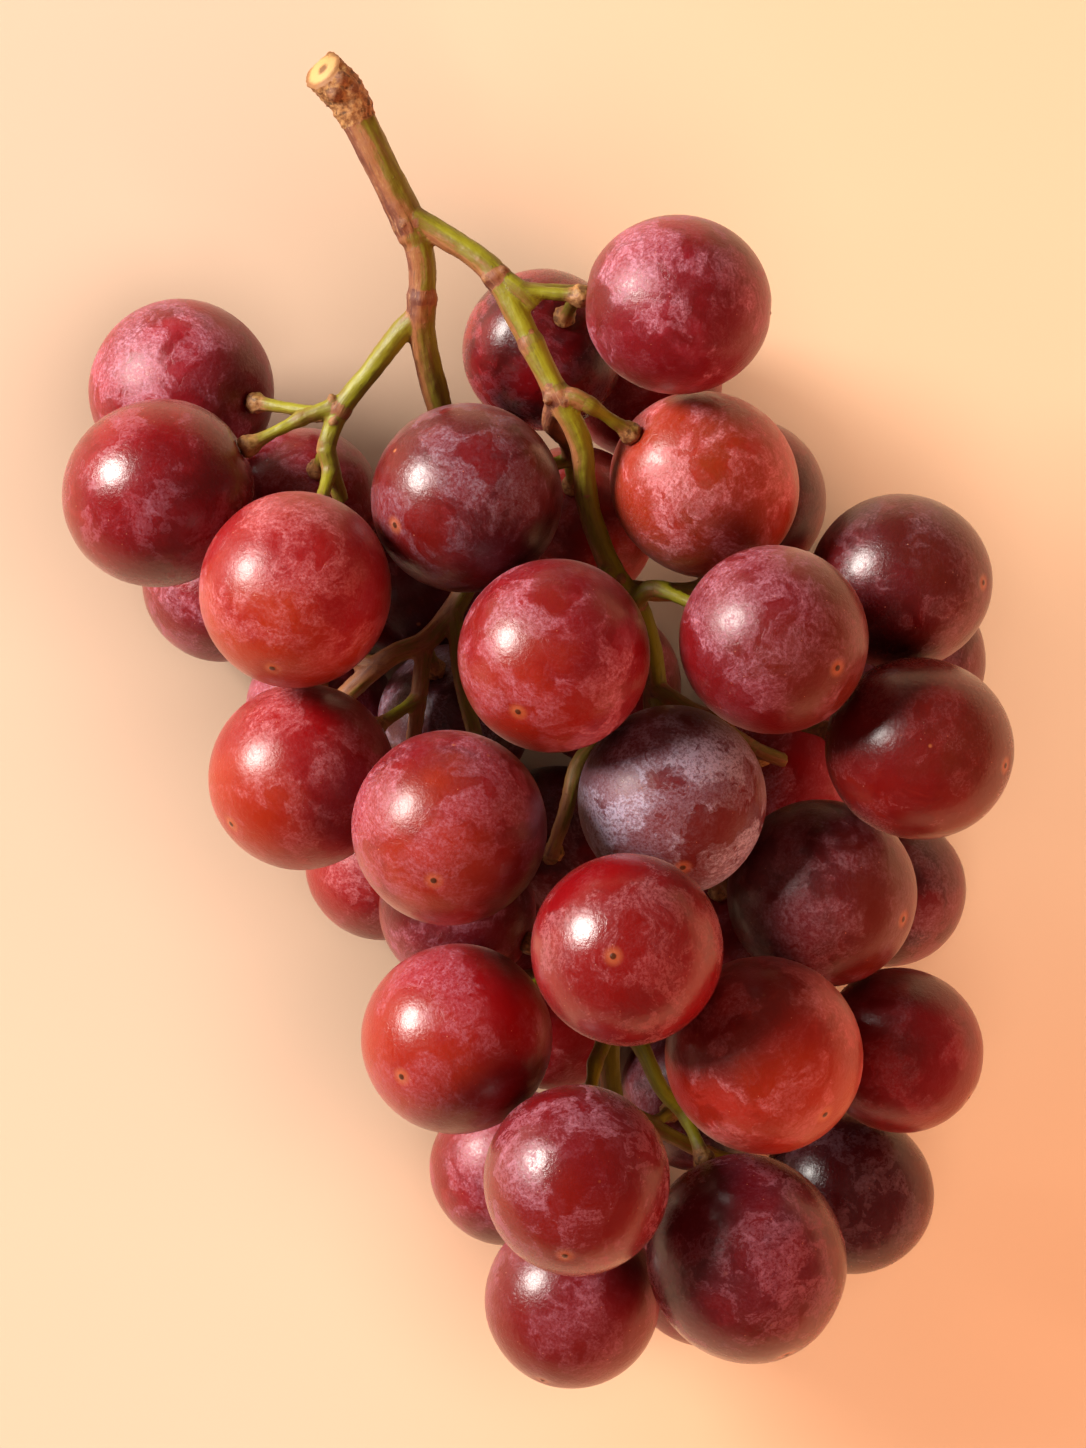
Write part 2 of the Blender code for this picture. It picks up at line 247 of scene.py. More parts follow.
ROSE = srgb(124, 9, 24)
CHERRY = srgb(136, 8, 24)
CRIMSON = srgb(128, 3, 10)
SCARLET = srgb(138, 8, 8)
CORAL = srgb(152, 32, 14)
MAROON = srgb(104, 4, 9)
WINE = srgb(98, 8, 11)
PLUM = srgb(82, 15, 24)
BRICK = srgb(112, 12, 2)
INK = srgb(62, 5, 8)
CHESTNUT = srgb(96, 24, 6)
AMBER = srgb(150, 38, 6)
RUSSET = srgb(134, 42, 10)
TAN = srgb(184, 88, 30)
LILAC = srgb(192, 130, 148)
PINK_DUST = srgb(208, 132, 138)
BLUE_DUST = srgb(158, 140, 156)
GREY_DUST = srgb(170, 130, 142)
PORE = srgb(206, 128, 96)
BLEMISH_RIM = srgb(188, 112, 66)
BLEMISH_CORE = srgb(60, 22, 12)
SCAR_HALO = srgb(186, 104, 62)
SCAR_DOT = srgb(62, 30, 12)

SKINS = {
    1: Skin(CHERRY, MAROON, SCARLET, 0.3, LILAC, 0.72, 0.25, 0.3, 0.0),
    2: Skin(CRIMSON, MAROON, BRICK, 0.5, LILAC, 0.38, 0.45, 0.75, 0.0),
    3: Skin(SCARLET, CRIMSON, AMBER, 1.0, PINK_DUST, 0.50, 0.2, 0.35, 0.0),
    4: Skin(MAROON, INK, BRICK, 0.6, BLUE_DUST, 0.46, 0.45, 0.6, 0.6),
    5: Skin(ROSE, WINE, MAROON, 0.3, LILAC, 0.70, 0.55, 0.4, 0.3),
    6: Skin(CRIMSON, INK, BRICK, 0.6, LILAC, 0.25, 0.4, 0.7, 0.0),
    7: Skin(CORAL, RUSSET, AMBER, 0.9, PINK_DUST, 0.80, 0.25, 0.4, 0.3),
    8: Skin(CRIMSON, MAROON, AMBER, 0.5, LILAC, 0.58, 0.4, 0.5, 0.0),
    9: Skin(MAROON, WINE, CHESTNUT, 0.9, LILAC, 0.46, 0.6, 0.5, 0.0),
    10: Skin(WINE, INK, CHESTNUT, 0.6, GREY_DUST, 0.42, 0.5, 0.6, 0.2),
    11: Skin(BRICK, WINE, CHESTNUT, 1.0, PINK_DUST, 0.14, 0.4, 0.7, 0.2),
    12: Skin(SCARLET, CRIMSON, AMBER, 0.8, PINK_DUST, 0.48, 0.3, 0.45, 0.2),
    13: Skin(CRIMSON, WINE, AMBER, 0.7, LILAC, 0.48, 0.35, 0.4, 0.4),
    14: Skin(PLUM, WINE, CHESTNUT, 0.5, BLUE_DUST, 1.5, 0.15, 0.2, 0.0),
    15: Skin(WINE, INK, CHESTNUT, 0.8, GREY_DUST, 0.38, 0.35, 0.5, 0.1),
    16: Skin(MAROON, CRIMSON, BRICK, 0.5, PINK_DUST, 0.42, 0.45, 0.95, 0.0),
    17: Skin(SCARLET, CRIMSON, AMBER, 0.6, LILAC, 0.40, 0.2, 0.6, 0.0),
    18: Skin(CORAL, BRICK, AMBER, 0.8, PINK_DUST, 0.60, 0.3, 0.5, 0.2),
    19: Skin(MAROON, WINE, BRICK, 0.9, LILAC, 0.55, 0.5, 0.9, 0.2),
    20: Skin(MAROON, PLUM, CHESTNUT, 0.7, LILAC, 0.42, 0.4, 0.9, 0.2),
    21: Skin(MAROON, WINE, BRICK, 0.7, LILAC, 0.34, 0.4, 0.6, 0.1),
    22: Skin(INK, INK, WINE, 0.5, GREY_DUST, 0.30, 0.5, 0.7, 0.2),
    23: Skin(CRIMSON, WINE, BRICK, 0.6, GREY_DUST, 0.25, 0.35, 0.6, 0.2),
    24: Skin(WINE, INK, BRICK, 0.5, GREY_DUST, 0.40, 0.35, 0.5, 0.1),
    25: Skin(CRIMSON, WINE, BRICK, 0.6, PINK_DUST, 0.35, 0.4, 0.5, 0.1),
    26: Skin(WINE, INK, BRICK, 0.5, GREY_DUST, 0.40, 0.35, 0.5, 0.1),
    27: Skin(CRIMSON, MAROON, SCARLET, 0.5, LILAC, 0.55, 0.3, 0.6, 0.0),
    33: Skin(PLUM, INK, WINE, 0.4, BLUE_DUST, 0.80, 0.3, 0.3, 0.1),
    34: Skin(CORAL, BRICK, TAN, 1.0, PINK_DUST, 0.35, 0.3, 0.4, 0.1),
}
HIDDEN_SKINS = (
    Skin(CRIMSON, MAROON, BRICK, 0.6, LILAC, 0.48, 0.35, 0.5, 0.1),
    Skin(MAROON, INK, BRICK, 0.5, GREY_DUST, 0.50, 0.45, 0.6, 0.2),
    Skin(SCARLET, CRIMSON, AMBER, 0.8, PINK_DUST, 0.45, 0.30, 0.5, 0.1),
    Skin(ROSE, WINE, SCARLET, 0.5, LILAC, 0.58, 0.35, 0.4, 0.1),
)
DARK_GRAPES = (2, 4, 6, 10, 11, 15, 19, 20, 22, 23, 24, 31, 32, 33, 39, 41)

Grape = namedtuple("Grape", "name number centre along width length")


def unique_points(node):
    """The different corners of a CAD node, in metres."""
    corners = np.array([vert.co for vert in node.data.vertices], float)
    return np.unique(np.round(corners, 7), axis=0)


def read_grape(name, stem_points):
    """A grape's centre, its direction from the stem end to the scar, and its size in mm."""
    points = unique_points(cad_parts[name]) / MM
    middle = points.mean(axis=0)
    _, vectors = np.linalg.eigh(np.cov((points - middle).T))
    along = vectors[:, -1]
    heights = (points - middle) @ along
    centre = middle + along * (heights.max() + heights.min()) / 2
    ends = [centre + along * heights.min(), centre + along * heights.max()]
    reach = [np.linalg.norm(stem_points - end, axis=1).min() for end in ends]
    if reach[1] < reach[0]:
        along = -along
    aside = (points - centre) - np.outer((points - centre) @ along, along)
    width = 2 * np.linalg.norm(aside, axis=1).max()
    length = heights.max() - heights.min()
    return Grape(name, int(name[-2:]), Vector(centre), Vector(along), width, length)


# A grape's mesh, and how much its rings crowd to its ends. Then the depth and
# width, in radii, of the dip round the blossom scar, of the scar and of the
# stem's pit.
GRAPE_SEGMENTS = 64
GRAPE_RINGS = 44
RING_CROWDING = 0.6
SCAR_PIT = 0.016
SCAR_PIT_WIDTH = 0.10
SCAR_NUB = 0.020
SCAR_NUB_WIDTH = 0.03
STEM_PIT = 0.055
STEM_PIT_WIDTH = 0.20


def grape_turn(grape):
    """The turn from upright to the way the grape points."""
    return grape.along.to_track_quat("Z", "Y").to_matrix().to_4x4()


def make_grape(grape):
    """One grape, a little uneven, with a pit at its stem and a small scar at its tip."""
    mesh = bmesh.new()
    bmesh.ops.create_uvsphere(
        mesh, u_segments=GRAPE_SEGMENTS, v_segments=GRAPE_RINGS, radius=1.0
    )
    seed = Vector((grape.number * 3.7, grape.number * 1.9, 5.0))
    for vert in mesh.verts:
        polar = math.acos(max(-1.0, min(1.0, vert.co.z)))
        polar -= RING_CROWDING * math.sin(2 * polar) / 2
        round_about = math.atan2(vert.co.y, vert.co.x)
        point = Vector((
            math.sin(polar) * math.cos(round_about),
            math.sin(polar) * math.sin(round_about),
            math.cos(polar),
        ))
        swell = 1.0 + 0.010 * noise.noise(point * 1.1 + seed)
        swell += 0.003 * noise.noise(point * 3.1 - seed)
        aside = math.hypot(point.x, point.y)
        if point.z > 0:
            swell -= SCAR_PIT * math.exp(-((aside / SCAR_PIT_WIDTH) ** 2))
            swell += SCAR_NUB * math.exp(-((aside / SCAR_NUB_WIDTH) ** 2))
        else:
            swell -= STEM_PIT * math.exp(-((aside / STEM_PIT_WIDTH) ** 2))
        vert.co = point * swell
    size = Matrix.Diagonal((grape.width / 2, grape.width / 2, grape.length / 2, 1.0))
    place = Matrix.Scale(MM, 4) @ Matrix.Translation(grape.centre) @ grape_turn(grape) @ size
    bmesh.ops.transform(mesh, matrix=place, verts=mesh.verts)
    for vert in mesh.verts:  # the lowest grapes rest on the floor
        vert.co.z = max(vert.co.z, 0.0)
    return finish_piece(mesh, "berry_%02d" % grape.number)


def finish_piece(mesh, name):
    """Make an object of a bmesh, smooth, riding on the one body."""
    data = bpy.data.meshes.new(name)
    mesh.to_mesh(data)
    mesh.free()
    data.shade_smooth()
    made = bpy.data.objects.new(name, data)
    bpy.context.scene.collection.objects.link(made)
    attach(made, "root")
    return made


# What all the grapes' skins share: their gloss, the red light that passes through
# the flesh, and a warm sheen at the edges.
SKIN_FINISH = {
    "IOR": 1.42,
    "Coat Roughness": 0.2,
    "Coat IOR": 1.45,
    "Subsurface Weight": 0.30,
    "Subsurface Radius": (1.0, 0.22, 0.12),
    "Subsurface Scale": 0.005,
    "Sheen Weight": 0.10,
    "Sheen Roughness": 0.3,
    "Sheen Tint": (1.0, 0.62, 0.48, 1.0),
}


def grape_skin(grape):
    """The skin of one grape: flesh colours, wax bloom, rubbed patches, pores and scar."""
    skin = SKINS.get(grape.number) or HIDDEN_SKINS[grape.number % len(HIDDEN_SKINS)]
    look, shader, start = new_look("skin_%02d" % grape.number)
    radius = grape.width / 2 * MM
    local = start.node("Mapping", {"vector_type": "TEXTURE"}, {
        "Vector": start.node("TexCoord", output="Object"),
        "Location": grape.centre * MM,
        "Rotation": grape_turn(grape).to_euler(),
        "Scale": (radius, radius, radius),
    })
    skin_at = local.shift((grape.number * 3.1, grape.number * 1.7, grape.number * 0.9))
    bend = skin_at.noise(1.7, 2.0, 0.5, output="Color")
    bent = start.node(
        "VectorMath", {"operation": "MULTIPLY_ADD"}, {0: bend, 1: (0.6, 0.6, 0.6), 2: skin_at}
    )
    aside = local.stretch((1, 1, 0)).measure()
    front = start.node("SeparateXYZ", None, {0: local}, "Z").step(0.0, 0.2)

    # the flesh, darker where the wax is thin and blushing round the blossom scar
    cloud = skin_at.noise(1.5, 3.0, 0.6)
    patches = bent.noise(1.3, 6.0, 0.64, 0.15)
    film = patches.step(0.47, 0.53) * 0.60 + patches.step(0.38, 0.64) * 0.40
    flesh = cloud.step(0.45, 0.68).blend(skin.flesh, skin.deep)
    flesh = ((1.0 - film) * 0.6).blend(flesh, skin.deep)
    blush = ((1.35 - aside) * front + (cloud - 0.5) * 1.4).step(0.3, 0.95)
    flesh = (blush * skin.blush_reach).blend(flesh, skin.blush)

    # the wax: torn patches, short scuffs, fine threads and powder
    scuffs = bent.stretch((1.0, 2.8, 1.5)).noise(5.0, 5.0, 0.72, 0.2)
    fibre = bent.stretch((1.0, 2.2, 3.0)).noise(8.0, 2.0, 0.6, 0.2)
    thread = fibre.math("ABSOLUTE", fibre - 0.5).step(0.0, 0.045, 1.0, 0.0)
    powder = skin_at.noise(30.0, 4.0, 0.75)
    peel = skin_at.noise(13.0, 3.0, 0.6)
    thin = 0.05 + 0.4 * max(0.0, skin.dust - 1.0)
    dust = thin + 0.52 * film + scuffs.step(0.46, 0.58) * (0.07 + 0.52 * film) + thread * 0.13
    dust = dust * powder.step(0.38, 0.62, 0.40, 1.35)

    # bare skin with crisp edges where the wax is rubbed off
    wear = scuffs * 0.22 + bent.noise(1.7, 3.0, 0.5) * 0.78
    edge = 0.59 - 0.13 * skin.rubbed
    bare = wear.step(edge, edge + 0.02)
    nicks = bent.stretch((1.0, 2.0, 1.0)).noise(6.0, 2.0, 0.5, 0.4).step(0.66, 0.69)
    kept = (1.0 - bare * 0.82) * (1.0 - nicks * 0.7)
    cover = dust * kept * skin.dust * (1.0 - blush * 0.35)
    colour = (cover * 0.66).blend(flesh, skin.bloom)

    # pale pores
    pore_at = skin_at.cells(10.0)
    some = start.node("SeparateColor", None, {0: skin_at.cells(10.0, "Color")}, 0)
    pore = pore_at.step(0.04, 0.08, 1.0, 0.0) * some.step(0.6, 0.62)
    colour = (pore * 0.6).blend(colour, PORE)

    # brown blemishes
    if skin.blemish:
        spot_at = skin_at.cells(2.6)
        few = start.node("SeparateColor", None, {0: skin_at.cells(2.6, "Color")}, 1)
        chosen = few.step(1.0 - skin.blemish * 0.5, 1.02 - skin.blemish * 0.5)
        rim = spot_at.step(0.05, 0.10, 1.0, 0.0) * chosen
        core = spot_at.step(0.02, 0.045, 1.0, 0.0) * chosen
        colour = (rim * 0.75).blend(colour, BLEMISH_RIM)
        colour = core.blend(colour, BLEMISH_CORE)

    # the blossom scar
    halo = aside.step(0.04, 0.13, 1.0, 0.0) * front
    dot = aside.step(0.024, 0.042, 1.0, 0.0) * front
    colour = (halo * 0.5).blend(colour, SCAR_HALO)
    colour = (dot * 0.92).blend(colour, SCAR_DOT)

    relief = kept * skin.dust * 0.45 + powder * 0.6 + peel * 1.1 + pore * 0.8
    bump = start.node("Bump", None, {"Strength": 0.4, "Distance": 0.00016, "Height": relief})
    smooth = 0.40 - 0.20 * skin.polish
    connect(shader, {
        "Base Color": colour,
        "Roughness": cover.step(0.0, 0.7, smooth, 0.58),
        "Normal": bump,
        "Coat Weight": cover.step(0.0, 0.62, 0.35 * skin.polish, 0.0),
    })
    connect(shader, SKIN_FINISH)
    return look


# ------------------------------------------------------------------ the stem

Sample = namedtuple("Sample", "at radius along across travelled wood cap")


def smooth_curve(points, spacing):
    """Points about one spacing apart on a smooth curve through the given points."""
    knots = [Vector(point) for point in points]
    padded = [2 * knots[0] - knots[1]] + knots + [2 * knots[-1] - knots[-2]]
    curve = []
    for a, b, c, d in zip(padded, padded[1:], padded[2:], padded[3:]):
        count = max(1, round((c - b).length / spacing))
        for i in range(count):
            t = i / count
            bend = (2 * a - 5 * b + 4 * c - d) * t ** 2 + (3 * b - a - 3 * c + d) * t ** 3
            curve.append(b + ((c - a) * t + bend) / 2)
    curve.append(knots[-1])
    return curve


def spread(values, count):
    """The given values, spread evenly over a number of places."""
    out = []
    for i in range(count):
        place = i / (count - 1) * (len(values) - 1)
        low = min(int(place), len(values) - 2)
        out.append(values[low] + (values[low + 1] - values[low]) * (place - low))
    return out


def half_size(grape):
    """A grape's longer half, which keeps others clear whichever way it points."""
    return max(grape.width, grape.length) / 2


def find_foot(grape, feet):
    """The branch and the point of it that this grape's pedicel grows from."""
    def off_line(foot):
        away = foot[1] - grape.centre
        behind = away.dot(-grape.along)
        if behind < grape.length / 2:
            return math.inf
        return (away + grape.along * behind).length + NEARNESS_WEIGHT * behind
    return min(feet, key=off_line)


def route_pedicel(grape, foot, grapes):
    """The points of a pedicel from the stem to its grape, clear of the others."""
    others = [other for other in grapes if other.name != grape.name]
    tip = grape.centre + (foot - grape.centre).normalized() * (grape.length / 2 + CLEARANCE)
    route = [foot.lerp(tip, i / PEDICEL_STEPS) for i in range(PEDICEL_STEPS + 1)]
    for _ in range(ROUTE_PASSES):
        for i in range(1, PEDICEL_STEPS):
            room = CAP_ROOM if i > PEDICEL_STEPS - 2 else PEDICEL_ROOM
            for other in others:
                apart = route[i] - other.centre
                overlap = half_size(other) + room + CLEARANCE - apart.length
                if overlap > 0:
                    route[i] += apart.normalized() * overlap
        for i in range(1, PEDICEL_STEPS):
            route[i] = route[i] * 0.8 + (route[i - 1] + route[i + 1]) * 0.1
    return route


# A tube's sides and the spacing of its rings, and how far a fork's swelling and
# a collar reach, in millimetres.
TUBE_SIDES = 16
TUBE_SPACING = 0.8
FORK_REACH = 1.7
COLLAR_REACH = 0.55
CUT_END_CORK = 0.85


def add_tube(mesh, curve, radii, woods, caps, samples):
    """A closed tube along a curve, noting for each ring where it is and what it is like."""
    tube = bmesh.new()
    rings = []
    across = (curve[1] - curve[0]).orthogonal().normalized()
    travelled = 0.0
    for i, point in enumerate(curve):
        along = (curve[min(i + 1, len(curve) - 1)] - curve[max(i - 1, 0)]).normalized()
        across = (across - along * across.dot(along)).normalized()
        travelled += (point - curve[i - 1]).length if i else 0.0
        turn = Matrix((across, along.cross(across), along)).transposed().to_4x4()
        place = Matrix.Scale(MM, 4) @ Matrix.Translation(point) @ turn
        ring = bmesh.ops.create_circle(tube, segments=TUBE_SIDES, radius=radii[i], matrix=place)
        rings.append(ring["verts"])
        samples.append(Sample(point, radii[i], along, across.copy(), travelled, woods[i], caps[i]))
    for ring, following in zip(rings, rings[1:]):
        pair = set(ring + following)
        wanted = {edge for vert in pair for edge in vert.link_edges if not edge.is_manifold}
        bmesh.ops.bridge_loops(tube, edges=[edge for edge in wanted if set(edge.verts) <= pair])
    for ring in (rings[0], rings[-1]):
        tube.faces.new(ring)
    bmesh.ops.recalc_face_normals(tube, faces=tube.faces)
    data = bpy.data.meshes.new("tube")
    tube.to_mesh(data)
    tube.free()
    mesh.from_mesh(data)
    bpy.data.meshes.remove(data)


def near_any(point, places, reach):
    """1 at any of the places, falling off over the reach."""
    nearest = min((point - place).length for place in places)
    return math.exp(-((nearest / reach) ** 2))


def grow_branch(mesh, branch, forks, collars, samples):
    """One branch, swollen where others fork from it, with a raised brown collar at some forks."""
    curve = [point + STEM_SHIFT for point in smooth_curve(branch.points, TUBE_SPACING)]
    radii = spread(branch.radii, len(curve))
    woods = spread(branch.wood, len(curve))
    for i, point in enumerate(curve):
        swell = near_any(point, forks, FORK_REACH)
        collar = near_any(point, collars, COLLAR_REACH)
        wobble = noise.noise(point * 0.35) * 0.06
        radii[i] *= 1.0 + 0.08 * swell + 0.20 * collar + wobble
        woods[i] = min(1.0, woods[i] + 0.2 * swell + 0.6 * collar)
    cork = CUT_END_CORK if branch.name == "cut_end" else 0.0
    add_tube(mesh, curve, radii, woods, [cork] * len(curve), samples)


def grow_pedicel(mesh, route, grape, wood, samples):
    """One pedicel, flared at its foot, with the warty swollen cap that holds the grape."""
    end = route[-1]
    inward = (grape.centre - end).normalized()
    curve = smooth_curve(route[::2] + [end + inward * 0.9], TUBE_SPACING * 0.8)
    total = sum((b - a).length for a, b in zip(curve, curve[1:]))
    radii, caps, woods = [], [], []
    gone = 0.0
    for i, point in enumerate(curve):
        gone += (point - curve[i - 1]).length if i else 0.0
        left = total - gone
        foot = math.exp(-((gone / 1.5) ** 2))
        cap = 1.0 / (1.0 + math.exp((left - 2.3) / 0.32))
        radius = 0.88 + 0.35 * foot + 0.10 * noise.noise(point * 0.6)
        radius += cap * (0.42 + 0.34 * math.exp(-(((left - 1.1) / 0.55) ** 2)))
        radii.append(radius)
        caps.append(cap * 0.75)
        near_cap = math.exp(-((left / 3.0) ** 2))
        woods.append(min(1.0, wood * (0.6 + 0.4 * foot) + 0.3 * foot + 0.7 * near_cap))
    add_tube(mesh, curve, radii, woods, caps, samples)


def lump(mesh, samples, at, radius, wood):
    """A small bud scale or stub on the stem."""
    place = Matrix.Scale(MM, 4) @ Matrix.Translation(at)
    bmesh.ops.create_icosphere(mesh, subdivisions=2, radius=radius, matrix=place)
    samples.append(Sample(at, radius, Vector((0, 0, 1)), Vector((1, 0, 0)), 0.0, wood, 0.3))


# Bud scales round the cut end, and stubs where side twigs broke off: their
# place, their radius and how woody they are.
STUBS = (
    ((-27.6, 86.6, 54.6), 0.85, 1.0), ((-26.0, 85.6, 53.0), 0.9, 1.0),
    ((-29.2, 83.8, 53.6), 0.8, 1.0), ((-25.0, 83.4, 54.4), 0.9, 1.0),
    ((-27.2, 82.6, 55.0), 1.0, 1.0), ((-26.4, 84.6, 55.3), 0.9, 1.0),
    ((-28.6, 85.0, 55.0), 0.8, 1.0), ((-24.6, 81.8, 50.8), 0.9, 1.0),
    ((-27.8, 83.4, 50.6), 1.0, 1.0), ((-28.0, 81.8, 52.8), 0.8, 1.0),
    ((-24.0, 82.0, 53.2), 0.8, 1.0), ((-19.2, 65.4, 50.4), 0.7, 0.9),
    ((-18.4, 66.0, 51.8), 0.6, 0.9), ((-15.9, 66.4, 51.2), 0.6, 0.9),
    ((-17.4, 56.4, 47.6), 0.6, 0.8), ((-14.4, 55.6, 47.8), 0.5, 0.8),
    ((-5.2, 59.6, 53.4), 0.7, 0.9), ((-7.6, 58.6, 53.2), 0.6, 0.8),
    ((1.0, 44.2, 54.0), 0.8, 1.0), ((0.6, 42.6, 54.2), 0.7, 1.0),
    ((2.8, 42.4, 54.4), 0.7, 1.0), ((-28.2, 43.6, 44.4), 0.6, 0.6),
    ((-27.9, 40.4, 44.4), 0.6, 0.6), ((-1.6, 51.4, 53.6), 0.6, 0.8),
    ((10.4, 19.4, 43.6), 0.7, 0.8), ((5.8, 30.4, 49.4), 0.6, 0.8),
)

# Where a branch has a raised brown collar.
COLLARS = (
    (-17.4, 65.8, 50.3), (-16.2, 56.6, 47.7), (-6.0, 58.8, 52.2),
    (-1.4, 50.0, 52.8), (1.9, 43.2, 53.0), (-27.0, 42.0, 43.5),
    (-26.0, 80.6, 52.1), (12.2, 16.4, 40.8), (9.0, -40.0, 36.9),
)

# A point of the sawn end of the stem, the way it faces and how far it can reach,
# in millimetres.
CUT_FACE = (-28.9, 86.1, 53.0)
CUT_NORMAL = Vector((-0.62, 0.50, 0.60))
CUT_REACH = 6

# The side on which the stem is browner, by how much on thick and on thin
# branches, and the radius that parts the two.
BROWN_SIDE = Vector((-0.86, -0.36, -0.36))
BROWNER_THICK = 0.42
BROWNER_THIN = 0.15
THICK_RADIUS = 1.35

# How tubes are fused, in metres, and how many of their rings a spot is compared
# with to find its own.
FUSE_VOXEL = 0.00030
FORK_SMOOTHINGS = 2
NEAR_RINGS = 8


def fuse(mesh, name):
    """Make a set of overlapping tubes one closed skin, and smooth the forks."""
    data = bpy.data.meshes.new(name)
    mesh.to_mesh(data)
    mesh.free()
    made = bpy.data.objects.new(name, data)
    bpy.context.scene.collection.objects.link(made)
    remesh = made.modifiers.new("fuse", "REMESH")
    remesh.mode = "VOXEL"
    remesh.voxel_size = FUSE_VOXEL
    graph = bpy.context.evaluated_depsgraph_get()
    fused = bmesh.new()
    fused.from_mesh(made.evaluated_get(graph).to_mesh())
    bpy.data.objects.remove(made)
    for _ in range(FORK_SMOOTHINGS):
        bmesh.ops.smooth_vert(
            fused, verts=fused.verts, factor=0.5,
            use_axis_x=True, use_axis_y=True, use_axis_z=True,
        )
    return fused


def saw_end(mesh):
    """Cut the top of the stem off flat, at a slant."""
    geometry = mesh.verts[:] + mesh.edges[:] + mesh.faces[:]
    at = (Vector(CUT_FACE) + STEM_SHIFT) * MM
    bmesh.ops.bisect_plane(
        mesh, geom=geometry, dist=1e-7, plane_co=at, plane_no=CUT_NORMAL, clear_outer=True
    )
    rim = [edge for edge in mesh.edges if edge.is_boundary]
    filled = bmesh.ops.holes_fill(mesh, edges=rim, sides=0)
    bmesh.ops.triangulate(mesh, faces=filled["faces"])


def carve(mesh, samples):
    """Give the stem its ridges, wrinkles and warts, and note what each spot is like."""
    tree = kdtree.KDTree(len(samples))
    for i, sample in enumerate(samples):
        tree.insert(sample.at * MM, i)
    tree.balance()
    mesh.normal_update()
    cut_at = Vector(CUT_FACE) + STEM_SHIFT
    facts = []
    moved = []
    for vert in mesh.verts:
        found = tree.find_n(vert.co, NEAR_RINGS)
        _, i, _ = min(found, key=lambda hit: hit[2] - samples[hit[1]].radius * MM)
        sample = samples[i]
        away = vert.co / MM - sample.at
        over = sample.along.cross(sample.across)
        angle = math.atan2(away.dot(over), away.dot(sample.across))
        travelled = sample.travelled + away.dot(sample.along)
        grain = Vector((math.cos(angle), math.sin(angle), travelled * 0.08))
        spot = vert.co / MM
        ridges = noise.noise(grain * 3.0) * 0.16 + noise.noise(grain * 7.0) * 0.07
        warts = noise.noise(spot * 1.5) * 0.35 + noise.noise(spot * 3.2) * 0.14
        wrinkles = noise.noise(spot * 0.9) * 0.05
        height = ridges * (0.35 + 0.65 * sample.wood) + warts * (sample.cap * 0.7) + wrinkles
        moved.append((vert, vert.normal * height * MM))
        browner = BROWNER_THICK if sample.radius > THICK_RADIUS else BROWNER_THIN
        side = vert.normal.dot(BROWN_SIDE) * browner
        wood = min(1.0, max(0.0, sample.wood + side))
        from_cut = spot - cut_at
        sawn = float(from_cut.dot(CUT_NORMAL) > -0.05 and from_cut.length < CUT_REACH)
        facts.append((grain, wood, sample.cap, sawn))
    for vert, offset in moved:
        vert.co += offset
    return facts


def make_stem(name, half, grapes, routes):
    """One half of the stem, with its pedicels."""
    mesh = bmesh.new()
    samples = []
    forks = [Vector(branch.points[0]) + STEM_SHIFT for branch in BRANCHES]
    forks += [route[0] for _, route, _ in routes]
    collars = [Vector(at) + STEM_SHIFT for at in COLLARS]
    for branch in BRANCHES:
        if branch.half == half:
            grow_branch(mesh, branch, forks, collars, samples)
    for grape, route, branch in routes:
        if branch.half == half:
            grow_pedicel(mesh, route, grape, branch.wood[-1] * 0.5, samples)
    if half == "upper":
        for at, radius, wood in STUBS:
            lump(mesh, samples, Vector(at) + STEM_SHIFT, radius, wood)
    fused = fuse(mesh, name)
    if half == "upper":
        saw_end(fused)
    facts = carve(fused, samples)
    made = finish_piece(fused, name)
    layers = (
        ("grain", "FLOAT_VECTOR", "vector"), ("wood", "FLOAT", "value"),
        ("cap", "FLOAT", "value"), ("sawn", "FLOAT", "value"),
    )
    for column, (layer, kind, field) in enumerate(layers):
        values = np.array([fact[column] for fact in facts], np.float32).ravel()
        made.data.attributes.new(layer, kind, "POINT").data.foreach_set(field, values)
    return made


# The bark from fresh green to old brown.
BARK_AGES = (
    (0.0, srgb(138, 132, 20)),
    (0.22, srgb(120, 110, 20)),
    (0.42, srgb(118, 92, 30)),
    (0.58, srgb(144, 92, 50)),
    (0.80, srgb(132, 78, 50)),
    (1.0, srgb(98, 50, 34)),
)
DRY_LINE = srgb(180, 134, 92)
DARK_LINE = srgb(64, 38, 20)
BARK_PORE = srgb(92, 60, 30)
CORK_DARK = srgb(126, 80, 40)
CORK_PALE = srgb(188, 138, 82)
CORK_CRACK = srgb(62, 36, 18)
PITH = srgb(120, 78, 38)
CUT_WOOD = srgb(196, 150, 92)
CUT_RIND = srgb(140, 92, 50)


